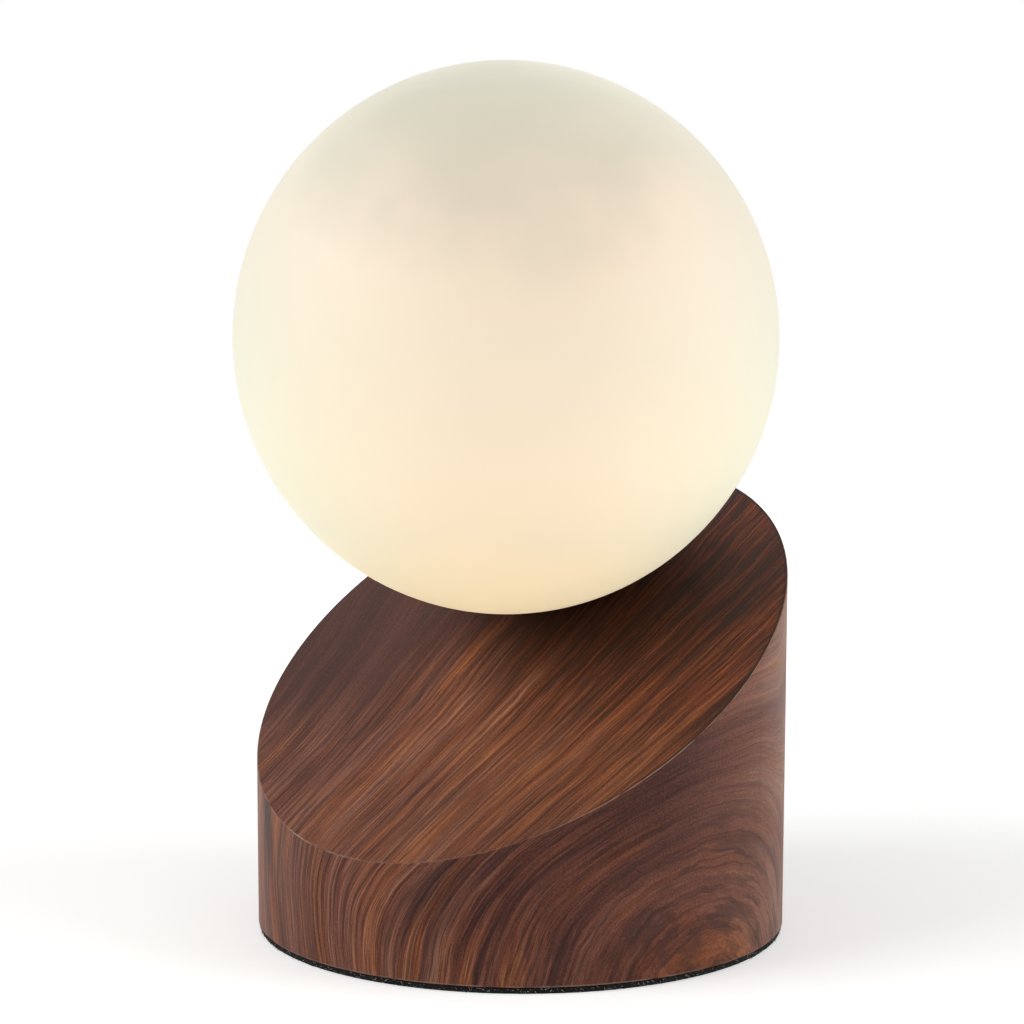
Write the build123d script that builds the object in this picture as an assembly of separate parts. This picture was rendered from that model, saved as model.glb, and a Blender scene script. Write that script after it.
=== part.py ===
"""Globe table lamp: an opal glass globe screwed into the sloping face of a round wooden base.

The origin is the middle of the base's underside, on the table. +Z is up and +Y points up the slope,
so the lamp is symmetrical about X = 0, with its low side towards -Y and its mains inlet towards +Y.
Lengths are in millimetres and angles in degrees.
"""

from build123d import *
import os
from math import cos, radians, sin, sqrt, tan

# Whole lamp
base_diameter = 100.0
slope_angle = 33.4
slope_height = 53.7  # the slope face on the base's axis, above the table
neck_place_share = 0.52  # from the base's axis up the slope to the neck's, as a share of the base's radius
globe_diameter = 100.0
globe_sink = 0.6  # how far the globe's full round would dip below the slope face

# Clearances
running_gap = 0.25  # between pieces that move past each other
seat_gap = 0.1  # around a piece that sits still in its hole
cut_overrun = 2.0

# Felt pad
felt_thickness = 1.1
felt_inset = 0.3

# Wooden base
base_wall = 6.0
slope_wall = 6.0
rim_break = 0.2
foot_break = 0.3
plate_ledge = 2.5
well_wall = 3.5
well_floor = 3.0
boss_diameter = 9.0
boss_height = 12.0
boss_wall_overlap = 1.0
boss_angles = (30.0, 150.0, 270.0)

# Bottom plate and its screws
plate_thickness = 2.5
plate_gap = 0.3
plate_screw_diameter = 4.0
plate_screw_length = 11.0
plate_screw_head_diameter = 7.6
plate_screw_slot_width = 1.0
plate_screw_slot_depth = 0.9

# Mains inlet bushing in the rear wall
inlet_height = 13.0
bushing_bore = 6.4
bushing_barrel_diameter = 9.6
bushing_flange_diameter = 13.0
bushing_flange_thickness = 1.8
bushing_flange_round = 0.6
bushing_spot_depth = 1.0
bushing_lip_diameter = 11.2
bushing_lip_length = 1.6

# Collar: a threaded cup let into the slope face
collar_wall = 1.2
collar_depth = 16.0
collar_floor = 1.2
collar_rim_break = 0.2
collar_gap = 0.9  # between the collar and the globe's neck, where the thread runs

# Globe
glass_wall = 2.5
neck_diameter = 26.0
neck_wall = 2.0
neck_end_gap = 0.8  # from the neck's lip down to the lampholder's screws
neck_lip_round = 0.8
neck_shoulder_round = 0.6

# Gasket between the globe's shoulder and the collar
gasket_neck_gap = 0.6
gasket_width = 1.4

# Hollow threaded tube, lock washer and nut that clamp the collar into the base
tube_diameter = 10.0
tube_bore = 7.2
tube_end_below_nut = 1.8
washer_diameter = 17.0
washer_thickness = 0.8
washer_tooth_count = 12
washer_tooth_depth = 1.4
washer_tooth_gap_width = 1.6
nut_across_flats = 14.0
nut_thickness = 2.5
nut_corner_break = 0.7

# Lampholder, its bracket, contacts and screws
bracket_gap = 0.35
bracket_thickness = 1.0
holder_length = 18.5
holder_width = 10.5
holder_height = 23.0
holder_flange_inset = 0.1  # from the bracket's edge
holder_flange_thickness = 3.0
holder_top_round = 0.5
holder_screw_edge = 2.5  # from each screw's axis to the flange's end
holder_screw_diameter = 2.4
holder_screw_head_diameter = 4.2
holder_screw_head_height = 1.7
holder_screw_slot_width = 0.8
holder_screw_slot_depth = 0.7
slot_length = 15.0
slot_width = 5.6
slot_depth = 6.0
slot_lead_in = 0.4
pin_spacing = 9.0
contact_chamber_length = 3.6
contact_chamber_width = 4.6
contact_chamber_depth = 15.0
contact_leaf_width = 3.0
contact_leaf_thickness = 0.4
contact_leaf_gap = 1.2
contact_leaf_below_slot = 1.0
contact_tab_height = 3.0
chamber_divider = 1.2

# Bulb: a plug-in capsule with two wire-loop pins
pin_wire_diameter = 0.7
pin_loop_width = 2.6
pin_loop_length = 7.5
bulb_foot_length = 14.4
bulb_foot_width = 5.0
bulb_foot_round = 1.2
bulb_stand_off = 0.3  # from the lampholder's top to the bulb's round body
bulb_diameter = 16.0
bulb_body_height = 11.0
bulb_body_waist = 15.4
bulb_body_band = 3.5
bulb_spigot_height = 3.0
bulb_cover_wall = 1.0
bulb_cover_height = 32.0
led_board_width = 10.0
led_board_thickness = 1.2
led_board_top_gap = 5.0
led_chip_width = 2.8
led_chip_length = 3.5
led_chip_thickness = 0.7
led_chip_columns = 2
led_chip_rows = 4
led_chip_column_pitch = 4.6
led_chip_row_pitch = 5.2

# Terminal block on the bottom plate
terminal_pitch = 12.0
terminal_pole_width = 7.2
terminal_length = 16.0
terminal_pole_height = 10.0
terminal_pole_round = 2.4
terminal_web_height = 5.0
terminal_wire_height = 4.6  # of the wires' axes above the plate
clamp_diameter = 4.4
clamp_bore = 2.8
clamp_length = 12.0
clamp_screw_spacing = 6.6
clamp_screw_diameter = 2.6
clamp_screw_slot_width = 0.6
clamp_screw_slot_depth = 0.8
clamp_screw_below_top = 0.5
clamp_screw_well_gap = 0.3
fixing_screw_diameter = 2.6
fixing_screw_head_diameter = 4.4
fixing_screw_head_height = 1.6
fixing_screw_slot_width = 0.7
fixing_screw_slot_depth = 0.7

# Leads between the terminal block and the lampholder
lead_diameter = 2.2
lead_core_diameter = 1.1
lead_core_length = 5.5
lead_spacing = 3.8  # in the hollow tube
lead_out_of_tube = 3.0
lead_bend_share = 0.45  # of the shorter run, taken up by each bend

# Worked out from the sizes above
base_radius = base_diameter / 2
globe_radius = globe_diameter / 2
neck_radius = neck_diameter / 2
slope_sine = sin(radians(slope_angle))
slope_cosine = cos(radians(slope_angle))
slope_tangent = tan(radians(slope_angle))
base_top = slope_height + base_radius * slope_tangent
base_span = base_diameter + base_top  # longer than any line across the base
neck_up_slope = neck_place_share * base_radius
plate_top = felt_thickness + plate_thickness
cavity_radius = base_radius - base_wall
rebate_radius = cavity_radius + plate_ledge
boss_circle_radius = cavity_radius - boss_diameter / 2 + boss_wall_overlap
collar_bore_radius = neck_radius + collar_gap
collar_radius = collar_bore_radius + collar_wall
well_radius = collar_radius + seat_gap
well_depth = collar_depth + collar_floor
well_bottom = well_depth + well_floor
globe_centre = globe_radius - globe_sink  # above the slope face, along the neck's axis
bracket_diameter = 2 * (collar_bore_radius - bracket_gap)
bracket_top = bracket_thickness - collar_depth
holder_flange_length = bracket_diameter - 2 * holder_flange_inset
holder_screw_spacing = holder_flange_length - 2 * holder_screw_edge
holder_screw_seat = bracket_top + holder_flange_thickness
neck_end = holder_screw_seat + holder_screw_head_height + neck_end_gap
holder_top = bracket_top + holder_height
slot_floor = holder_top - slot_depth
tube_bottom = -(well_bottom + washer_thickness + nut_thickness + tube_end_below_nut)
bulb_body_bottom = holder_top + bulb_stand_off
bulb_shoulder = bulb_body_bottom + bulb_body_height
chamber_floor = slot_floor - contact_chamber_depth
wire_height = plate_top + terminal_wire_height

# Planes: the slope face on the base's axis, and the same face at the neck, with +Z along the neck
slope_normal = (0, -slope_sine, slope_cosine)
slope_plane = Plane(origin=(0, 0, slope_height), x_dir=(1, 0, 0), z_dir=slope_normal)
neck_origin = slope_plane.from_local_coords((0, neck_up_slope, 0))
neck_plane = Plane(origin=neck_origin, x_dir=(1, 0, 0), z_dir=slope_normal)

STANDING = (Align.CENTER, Align.CENTER, Align.MIN)
HANGING = (Align.CENTER, Align.CENTER, Align.MAX)


def disc(diameter, height, bottom=0.0):
    """A round bar on the Z axis that stands on a given height."""
    return Pos(0, 0, bottom) * Cylinder(diameter / 2, height, align=STANDING)


def ring(outer_diameter, inner_diameter, height, bottom=0.0):
    """A plain ring on the Z axis."""
    bore = disc(inner_diameter, height + 2 * cut_overrun, bottom - cut_overrun)
    return disc(outer_diameter, height, bottom) - bore


def stadium(length, width, height, bottom=0.0):
    """An oblong bar with half-round ends along X, standing on a given height."""
    return Pos(0, 0, bottom) * extrude(SlotOverall(length, width), height)


def above_slope(depth):
    """Everything above the slope face once that is moved down by a depth."""
    return slope_plane.offset(-depth) * Box(2 * base_span, 2 * base_span, base_span, align=STANDING)


def on_boss_circle(shape):
    """A copy of a shape at each screw boss."""
    places = [Rot(0, 0, angle) * Pos(boss_circle_radius, 0, 0) for angle in boss_angles]
    return [place * shape for place in places]


def base_outside():
    """The oblique cylinder, with its rim and its foot just broken."""
    block = disc(base_diameter, base_top + cut_overrun - felt_thickness, felt_thickness)
    block = block - above_slope(0)
    slope_face = block.faces().sort_by(Axis((0, 0, 0), slope_normal))[-1]
    block = chamfer(slope_face.edges(), rim_break)
    foot_face = block.faces().sort_by(Axis.Z)[0]
    return chamfer(foot_face.edges(), foot_break)


def well_block():
    """The solid seat round the collar, carried back to the rear wall."""
    radius = well_radius + well_wall
    seat = Cylinder(radius, well_bottom, align=HANGING)
    web = Box(2 * radius, base_diameter, well_bottom, align=(Align.CENTER, Align.MIN, Align.MAX))
    return neck_plane * (seat + web)


def base_cavity():
    """The hollow inside the base: round, with a sloping roof, clear of the well and the screw bosses."""
    hollow = disc(2 * cavity_radius, base_top, plate_top) - above_slope(slope_wall)
    hollow = hollow - well_block()
    for boss in on_boss_circle(disc(boss_diameter, boss_height, plate_top)):
        hollow = hollow - boss
    return hollow


def inlet_axis_plane():
    """A plane whose +Z runs out of the rear wall along the inlet, from the base's axis."""
    return Plane(origin=(0, 0, inlet_height), x_dir=(1, 0, 0), z_dir=(0, 1, 0))


def make_wooden_base():
    pilot_diameter = plate_screw_diameter + 2 * seat_gap
    well = Pos(0, 0, cut_overrun) * Cylinder(well_radius, well_depth + cut_overrun, align=HANGING)
    tube_hole = Cylinder(tube_diameter / 2 + seat_gap, well_bottom + cut_overrun, align=HANGING)
    inlet_hole = disc(bushing_barrel_diameter + 2 * seat_gap, base_diameter)
    spot_bottom = base_radius - bushing_spot_depth
    spot_face = disc(bushing_flange_diameter + 2 * seat_gap, base_diameter, spot_bottom)
    rebate = disc(2 * rebate_radius, plate_thickness + cut_overrun, felt_thickness - cut_overrun)
    nut_room = disc(washer_diameter + 2 * running_gap, -tube_bottom - well_bottom, tube_bottom)
    base = base_outside() - base_cavity() - rebate
    base = base - neck_plane * well - neck_plane * tube_hole - neck_plane * nut_room
    base = base - inlet_axis_plane() * inlet_hole - inlet_axis_plane() * spot_face
    for pilot in on_boss_circle(disc(pilot_diameter, plate_screw_length + seat_gap, felt_thickness)):
        base = base - pilot
    return base


def make_felt_pad():
    return disc(base_diameter - 2 * felt_inset, felt_thickness)


def countersunk_screw(gap):
    """One bottom-plate screw, head down, or with a gap the hole that it needs."""
    cone_height = (plate_screw_head_diameter - plate_screw_diameter) / 2
    shank = disc(plate_screw_diameter + 2 * gap, plate_screw_length)
    head = Cone(
        plate_screw_head_diameter / 2 + gap,
        plate_screw_diameter / 2 + gap,
        cone_height,
        align=STANDING,
    )
    return Pos(0, 0, felt_thickness) * (shank + head)


def make_bottom_plate():
    plate = disc(2 * (rebate_radius - plate_gap), plate_thickness, felt_thickness)
    for hole in on_boss_circle(countersunk_screw(seat_gap)):
        plate = plate - hole
    return plate - disc(fixing_screw_diameter + 2 * seat_gap, plate_top + cut_overrun)


def make_plate_screws():
    slot = Box(plate_screw_head_diameter, plate_screw_slot_width, 2 * plate_screw_slot_depth)
    screw = countersunk_screw(0) - Pos(0, 0, felt_thickness) * slot
    return on_boss_circle(screw)


def make_inlet_bushing():
    """Flanged outside, with a snap lip behind the wall, and bored for the mains cord."""
    seat = base_radius - bushing_spot_depth
    wall_inside = sqrt(cavity_radius**2 - (bushing_lip_diameter / 2) ** 2)
    lip_bottom = wall_inside - seat_gap - bushing_lip_length
    flange = disc(bushing_flange_diameter, bushing_flange_thickness, seat)
    flange = fillet(flange.edges().sort_by(Axis.Z)[-1], bushing_flange_round)
    barrel = disc(bushing_barrel_diameter, seat - lip_bottom, lip_bottom)
    lip = Pos(0, 0, lip_bottom) * Cone(
        bushing_barrel_diameter / 2, bushing_lip_diameter / 2, bushing_lip_length, align=STANDING
    )
    bore = disc(bushing_bore, base_diameter)
    return inlet_axis_plane() * (flange + barrel + lip - bore)


def make_globe_collar():
    """A plain cup, level with the slope face; its thread is left out."""
    cup = disc(2 * collar_radius, well_depth, -well_depth)
    bore = disc(2 * collar_bore_radius, collar_depth + cut_overrun, -collar_depth)
    tube_hole = disc(tube_diameter + 2 * seat_gap, well_depth, -well_depth - cut_overrun)
    collar = cup - bore - tube_hole
    top_edges = collar.edges().filter_by(GeomType.CIRCLE).group_by(Axis.Z)[-1]
    return neck_plane * chamfer(top_edges, collar_rim_break)


def sphere_height(radius, from_axis):
    """Height over the slope face of the globe's lower half, at a distance from the neck's axis."""
    return globe_centre - sqrt(radius**2 - from_axis**2)


def make_glass_globe():
    """Blown in one piece: a sphere that runs into a short neck, with a fire-polished lip."""
    inner_radius = globe_radius - glass_wall
    neck_bore_radius = neck_radius - neck_wall
    outer_join = (neck_radius, sphere_height(globe_radius, neck_radius))
    inner_join = (neck_bore_radius, sphere_height(inner_radius, neck_bore_radius))
    outline = [
        ThreePointArc((0, globe_centre + globe_radius), (globe_radius, globe_centre), outer_join),
        Line(outer_join, (neck_radius, neck_end)),
        Line((neck_radius, neck_end), (neck_bore_radius, neck_end)),
        Line((neck_bore_radius, neck_end), inner_join),
        ThreePointArc(inner_join, (inner_radius, globe_centre), (0, globe_centre + inner_radius)),
        Line((0, globe_centre + inner_radius), (0, globe_centre + globe_radius)),
    ]
    profile = make_face(outline)
    profile = fillet(profile.vertices().sort_by(Axis.Y)[2:4], neck_shoulder_round)
    profile = fillet(profile.vertices().sort_by(Axis.Y)[:2], neck_lip_round)
    return neck_plane * revolve(Plane.XZ * profile, Axis.Z, 360)


def make_globe_gasket():
    """A ring whose top follows the globe's shoulder."""
    inner = neck_radius + gasket_neck_gap
    outer = inner + gasket_width
    under_glass = globe_radius + seat_gap
    middle = (inner + outer) / 2
    top_inner = (inner, sphere_height(under_glass, inner))
    top_middle = (middle, sphere_height(under_glass, middle))
    top_outer = (outer, sphere_height(under_glass, outer))
    outline = [
        Line((inner, 0), (outer, 0)),
        Line((outer, 0), top_outer),
        ThreePointArc(top_outer, top_middle, top_inner),
        Line(top_inner, (inner, 0)),
    ]
    return neck_plane * revolve(Plane.XZ * make_face(outline), Axis.Z, 360)


def make_hollow_tube():
    return neck_plane * ring(tube_diameter, tube_bore, bracket_top - tube_bottom, tube_bottom)


def make_lock_washer():
    """A flat ring with teeth round its outside."""
    washer = ring(washer_diameter, tube_diameter + 2 * seat_gap, washer_thickness)
    notch = Box(2 * washer_tooth_depth, washer_tooth_gap_width, 2 * washer_thickness + cut_overrun)
    for place in PolarLocations(washer_diameter / 2, washer_tooth_count):
        washer = washer - place * notch
    return neck_plane * Pos(0, 0, -well_bottom - washer_thickness) * washer


def make_tube_nut():
    """A thin hexagon nut with its corners turned off at both ends."""
    bottom = -well_bottom - washer_thickness - nut_thickness
    blank = extrude(RegularPolygon(nut_across_flats / 2, 6, major_radius=False), nut_thickness)
    corner_radius = nut_across_flats / 2 / cos(radians(30))
    turned = Cylinder(corner_radius, nut_thickness, align=STANDING)
    nut = blank & chamfer(turned.edges().filter_by(GeomType.CIRCLE), nut_corner_break)
    nut = nut - disc(tube_diameter + 2 * seat_gap, nut_thickness + 2 * cut_overrun, -cut_overrun)
    return neck_plane * Pos(0, 0, bottom) * nut


def at_holder_screws(shape):
    """A copy of a shape on each of the lampholder's two screw axes."""
    return [Pos(side * holder_screw_spacing / 2, 0, 0) * shape for side in (-1, 1)]


def make_holder_bracket():
    bracket = ring(bracket_diameter, tube_diameter + 2 * seat_gap, bracket_thickness, -collar_depth)
    hole = disc(holder_screw_diameter + 2 * seat_gap, collar_depth, bracket_top - collar_depth)
    for screw_hole in at_holder_screws(Pos(0, 0, cut_overrun) * hole):
        bracket = bracket - screw_hole
    return neck_plane * bracket


def make_lampholder():
    """Ceramic: an oblong block on a flange, with a bulb slot on top and a chamber under each pin."""
    block = stadium(holder_length, holder_width, holder_height, bracket_top)
    block = fillet(block.faces().sort_by(Axis.Z)[-1].edges(), holder_top_round)
    holder = block + stadium(holder_flange_length, holder_width, holder_flange_thickness, bracket_top)
    slot_outline = RectangleRounded(slot_length, slot_width, bulb_foot_round)
    slot = Pos(0, 0, slot_floor) * extrude(slot_outline, slot_depth + cut_overrun)
    mouth = Pos(0, 0, holder_top - slot_lead_in) * extrude(slot_outline, slot_lead_in, taper=-45)
    holder = holder - slot - mouth
    hole = disc(holder_screw_diameter + 2 * seat_gap, 2 * holder_height, bracket_top - holder_height)
    driver_groove = disc(holder_screw_head_diameter + 2 * running_gap, holder_height, holder_screw_seat)
    for screw_cut in at_holder_screws(hole) + at_holder_screws(driver_groove):
        holder = holder - screw_cut
    chamber_outside = (pin_spacing + contact_chamber_length) / 2
    chamber_height = contact_chamber_depth + cut_overrun
    chamber = Box(contact_chamber_length, contact_chamber_width, chamber_height, align=STANDING)
    foot_length = chamber_outside - chamber_divider / 2
    foot = Box(foot_length, contact_chamber_width, contact_tab_height, align=STANDING)
    wire_hole = Cylinder(lead_diameter / 2 + seat_gap, holder_height, align=HANGING)
    for side in (-1, 1):
        holder = holder - Pos(side * pin_spacing / 2, 0, chamber_floor) * chamber
        holder = holder - Pos(side * (chamber_outside - foot_length / 2), 0, chamber_floor) * foot
        holder = holder - Pos(side * lead_spacing / 2, 0, chamber_floor + cut_overrun) * wire_hole
    return neck_plane * holder


def make_holder_contacts():
    """Two spring forks, each on a tab that reaches in over its lead."""
    height = slot_floor - contact_leaf_below_slot - chamber_floor
    outside = contact_leaf_gap + 2 * contact_leaf_thickness
    fork = Box(contact_leaf_width, outside, height, align=STANDING)
    fork = fork - Pos(0, 0, contact_leaf_thickness) * Box(
        contact_leaf_width + cut_overrun, contact_leaf_gap, height, align=STANDING
    )
    tab_inside = chamber_divider / 2 + seat_gap
    tab_outside = (pin_spacing + contact_leaf_width) / 2
    tab = Box(tab_outside - tab_inside, outside, contact_leaf_thickness, align=STANDING)
    contacts = []
    for side in (-1, 1):
        placed_fork = Pos(side * pin_spacing / 2, 0, chamber_floor) * fork
        placed_tab = Pos(side * (tab_inside + tab_outside) / 2, 0, chamber_floor) * tab
        contacts.append(neck_plane * (placed_fork + placed_tab))
    return contacts


def pan_head_screw(diameter, length, head_diameter, head_height, slot_width, slot_depth):
    """A slotted screw that hangs from the underside of its rounded head, at Z = 0."""
    head = disc(head_diameter, head_height)
    head = fillet(head.edges().sort_by(Axis.Z)[-1], head_height / 2)
    slot = Pos(0, 0, head_height) * Box(head_diameter + cut_overrun, slot_width, 2 * slot_depth)
    return head + Cylinder(diameter / 2, length, align=HANGING) - slot


def make_holder_screws():
    screw = pan_head_screw(
        holder_screw_diameter,
        holder_flange_thickness + bracket_thickness,
        holder_screw_head_diameter,
        holder_screw_head_height,
        holder_screw_slot_width,
        holder_screw_slot_depth,
    )
    lifted = Pos(0, 0, holder_screw_seat) * screw
    return [neck_plane * placed for placed in at_holder_screws(lifted)]


def make_bulb_base():
    """A round body on a narrow foot, with a spigot on top for the cover."""
    radius = bulb_diameter / 2
    spigot_radius = radius - bulb_cover_wall - seat_gap
    spigot_top = bulb_shoulder + bulb_spigot_height
    profile = make_face(
        Polyline(
            (0, bulb_body_bottom),
            (bulb_body_waist / 2, bulb_body_bottom),
            (radius, bulb_shoulder - bulb_body_band),
            (radius, bulb_shoulder),
            (spigot_radius, bulb_shoulder),
            (spigot_radius, spigot_top),
            (0, spigot_top),
            close=True,
        )
    )
    body = revolve(Plane.XZ * profile, Axis.Z, 360)
    foot = Box(bulb_foot_length, bulb_foot_width, bulb_body_bottom - slot_floor, align=STANDING)
    foot = fillet(foot.edges().filter_by(Axis.Z), bulb_foot_round)
    return neck_plane * (body + Pos(0, 0, slot_floor) * foot)


def make_bulb_cover():
    """A thin capsule, open at its lower end."""
    radius = bulb_diameter / 2
    inner_radius = radius - bulb_cover_wall
    dome_centre = bulb_shoulder + bulb_cover_height - radius
    outside = disc(bulb_diameter, bulb_cover_height - radius, bulb_shoulder)
    outside = outside + Pos(0, 0, dome_centre) * Sphere(radius)
    inside = disc(2 * inner_radius, bulb_cover_height - radius + cut_overrun, bulb_shoulder - cut_overrun)
    inside = inside + Pos(0, 0, dome_centre) * Sphere(inner_radius)
    return neck_plane * (outside - inside)


def make_bulb_pins():
    """Two narrow wire loops, in one line across the foot."""
    leg_offset = (pin_loop_width - pin_wire_diameter) / 2
    bend_height = slot_floor - pin_loop_length + pin_wire_diameter / 2 + leg_offset
    bend_bottom = bend_height - leg_offset
    bend_start = (-leg_offset, 0, bend_height)
    bend_end = (leg_offset, 0, bend_height)
    path = Wire(
        [
            Line((-leg_offset, 0, slot_floor), bend_start).edge(),
            ThreePointArc(bend_start, (0, 0, bend_bottom), bend_end).edge(),
            Line(bend_end, (leg_offset, 0, slot_floor)).edge(),
        ]
    )
    section = Plane(origin=path @ 0, z_dir=path % 0) * Circle(pin_wire_diameter / 2)
    loop = sweep(section, path)
    return [neck_plane * Pos(side * pin_spacing / 2, 0, 0) * loop for side in (-1, 1)]


led_board_bottom = bulb_shoulder + bulb_spigot_height
led_board_height = bulb_cover_height - bulb_spigot_height - led_board_top_gap


def make_led_board():
    board = Box(led_board_width, led_board_thickness, led_board_height, align=STANDING)
    return neck_plane * Pos(0, 0, led_board_bottom) * board


def make_led_chips():
    """Rows of chips on both faces of the board."""
    chip = Box(led_chip_width, led_chip_thickness, led_chip_length)
    from_middle = (led_board_thickness + led_chip_thickness) / 2
    middle = led_board_bottom + led_board_height / 2
    chips = []
    for face in (-1, 1):
        face_plane = Plane(origin=(0, face * from_middle, middle), x_dir=(1, 0, 0), z_dir=(0, -1, 0))
        places = GridLocations(led_chip_column_pitch, led_chip_row_pitch, led_chip_columns, led_chip_rows)
        for place in places:
            spot = face_plane.from_local_coords(place.position)
            chips.append(neck_plane * Pos(spot) * chip)
    return chips


def pole_places():
    """The two terminal poles' middles, at the height of the wires."""
    return [(side * terminal_pitch / 2, 0, wire_height) for side in (-1, 1)]


def along_y(diameter, length):
    """A round bar along Y, centred."""
    return Rot(90, 0, 0) * Cylinder(diameter / 2, length)


def clamp_screw_places():
    """Both screws of each pole, as offsets from its middle."""
    return [(0, side * clamp_screw_spacing / 2, 0) for side in (-1, 1)]


def make_terminal_block():
    """Two rounded poles joined by a low web, with wire holes along Y and screw wells from above."""
    block = Box(terminal_pitch, terminal_length, terminal_web_height, align=STANDING)
    pole = Box(terminal_pole_width, terminal_length, terminal_pole_height, align=STANDING)
    pole = fillet(pole.edges().filter_by(Axis.Y).sort_by(Axis.Z)[-2:], terminal_pole_round)
    for side in (-1, 1):
        block = block + Pos(side * terminal_pitch / 2, 0, 0) * pole
    block = Pos(0, 0, plate_top) * block
    wire_hole = along_y(clamp_diameter + 2 * seat_gap, terminal_length + cut_overrun)
    well = disc(clamp_screw_diameter + 2 * clamp_screw_well_gap, terminal_pole_height)
    for place in pole_places():
        block = block - Pos(place) * wire_hole
        for offset in clamp_screw_places():
            block = block - Pos(place) * Pos(offset) * well
    return block - disc(fixing_screw_diameter + 2 * seat_gap, plate_top + terminal_pole_height)


def make_terminal_clamps():
    tube = along_y(clamp_diameter, clamp_length) - along_y(clamp_bore, clamp_length + cut_overrun)
    hole = disc(clamp_screw_diameter + 2 * seat_gap, clamp_diameter)
    for offset in clamp_screw_places():
        tube = tube - Pos(offset) * hole
    return [Pos(place) * tube for place in pole_places()]


def make_terminal_screws():
    tip = lead_core_diameter / 2 + seat_gap
    top = terminal_pole_height - terminal_wire_height - clamp_screw_below_top
    screw = disc(clamp_screw_diameter, top - tip, tip)
    slot = Box(clamp_screw_diameter + cut_overrun, clamp_screw_slot_width, 2 * clamp_screw_slot_depth)
    screw = screw - Pos(0, 0, top) * slot
    screws = []
    for place in pole_places():
        screws.extend(Pos(place) * Pos(offset) * screw for offset in clamp_screw_places())
    return screws


def make_terminal_fixing_screw():
    screw = pan_head_screw(
        fixing_screw_diameter,
        terminal_web_height + plate_thickness,
        fixing_screw_head_diameter,
        fixing_screw_head_height,
        fixing_screw_slot_width,
        fixing_screw_slot_depth,
    )
    return Pos(0, 0, plate_top + terminal_web_height) * screw


def make_lead(side):
    """From the lampholder's tab through the hollow tube and down the rear, into its terminal clamp."""
    top = neck_plane.from_local_coords((side * lead_spacing / 2, 0, chamber_floor))
    below_tube = neck_plane.from_local_coords((side * lead_spacing / 2, 0, tube_bottom - lead_out_of_tube))
    corner = Vector(side * terminal_pitch / 2, below_tube.Y, wire_height)
    clamp_end = Vector(side * terminal_pitch / 2, clamp_length / 2, wire_height)
    points = [Vector(top), Vector(below_tube), corner, clamp_end]
    radii = []
    for before, here, after in zip(points, points[1:], points[2:]):
        shorter_run = min((here - before).length, (after - here).length)
        half_turn = radians((here - before).get_angle(after - here)) / 2
        radii.append(lead_bend_share * shorter_run / tan(half_turn))
    path = FilletPolyline(*points, radius=radii)
    section = Plane(origin=path @ 0, z_dir=path % 0) * Circle(lead_diameter / 2)
    cover = sweep(section, path)
    volume_share = cover.volume / (section.area * path.length)
    print("lead bend radii", [round(radius, 1) for radius in radii], "volume share", round(volume_share, 3))
    core = Rot(90, 0, 0) * disc(lead_core_diameter, lead_core_length)
    return cover + Pos(clamp_end) * core


nodes = {
    "wooden_base": make_wooden_base(),
    "felt_pad": make_felt_pad(),
    "bottom_plate": make_bottom_plate(),
    "plate_screws": make_plate_screws(),
    "inlet_bushing": make_inlet_bushing(),
    "terminal_block": make_terminal_block(),
    "terminal_clamps": make_terminal_clamps(),
    "terminal_screws": make_terminal_screws(),
    "terminal_fixing_screw": make_terminal_fixing_screw(),
    "globe_collar": make_globe_collar(),
    "hollow_tube": make_hollow_tube(),
    "lock_washer": make_lock_washer(),
    "tube_nut": make_tube_nut(),
    "holder_bracket": make_holder_bracket(),
    "lampholder": make_lampholder(),
    "holder_contacts": make_holder_contacts(),
    "holder_screws": make_holder_screws(),
    "live_lead": make_lead(-1),
    "neutral_lead": make_lead(1),
    "globe_gasket": make_globe_gasket(),
    "glass_globe": make_glass_globe(),
    "bulb_base": make_bulb_base(),
    "bulb_cover": make_bulb_cover(),
    "bulb_pins": make_bulb_pins(),
    "led_board": make_led_board(),
    "led_chips": make_led_chips(),
}

os.makedirs("parts", exist_ok=True)
for name, shape in nodes.items():
    piece = Compound(children=shape) if isinstance(shape, list) else shape
    export_step(piece, f"parts/{name}.step")
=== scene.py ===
"""Finishes, small detail, light and camera for the globe table lamp."""

import math
import random

import bpy
from mathutils import Matrix, Vector


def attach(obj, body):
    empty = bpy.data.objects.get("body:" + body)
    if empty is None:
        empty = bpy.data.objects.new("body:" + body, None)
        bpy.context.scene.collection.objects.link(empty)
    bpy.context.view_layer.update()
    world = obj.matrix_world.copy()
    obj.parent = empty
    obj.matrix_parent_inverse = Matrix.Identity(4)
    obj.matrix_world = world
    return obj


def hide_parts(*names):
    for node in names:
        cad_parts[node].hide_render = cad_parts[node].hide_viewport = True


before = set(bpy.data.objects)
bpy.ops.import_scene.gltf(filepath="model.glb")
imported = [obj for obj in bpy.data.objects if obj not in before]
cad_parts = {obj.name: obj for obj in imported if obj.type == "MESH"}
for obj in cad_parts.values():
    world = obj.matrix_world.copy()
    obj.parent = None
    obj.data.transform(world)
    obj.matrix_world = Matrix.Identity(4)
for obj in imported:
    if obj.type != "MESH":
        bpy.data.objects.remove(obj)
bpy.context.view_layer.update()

# Sizes of the lamp that the finishes and the added pieces follow, in metres and radians
MM = 1000.0  # millimetres in a metre
BASE_RADIUS = 0.050
SLOPE_ANGLE = math.radians(33.4)
SLOPE_HEIGHT = 0.0537  # of the slope face over the middle of the base
FELT_THICKNESS = 0.0011
FELT_RADIUS = 0.0497
GLOBE_RADIUS = 0.050
GLOBE_RISE = 0.0494  # from the slope face to the globe's centre, along the neck's axis
NECK_RADIUS = 0.013
NECK_FOOT = Vector((0.0, 0.0217060, 0.0680125))  # where the neck's axis meets the slope face
NECK_AXIS = Vector((0.0, -math.sin(SLOPE_ANGLE), math.cos(SLOPE_ANGLE)))
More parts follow.
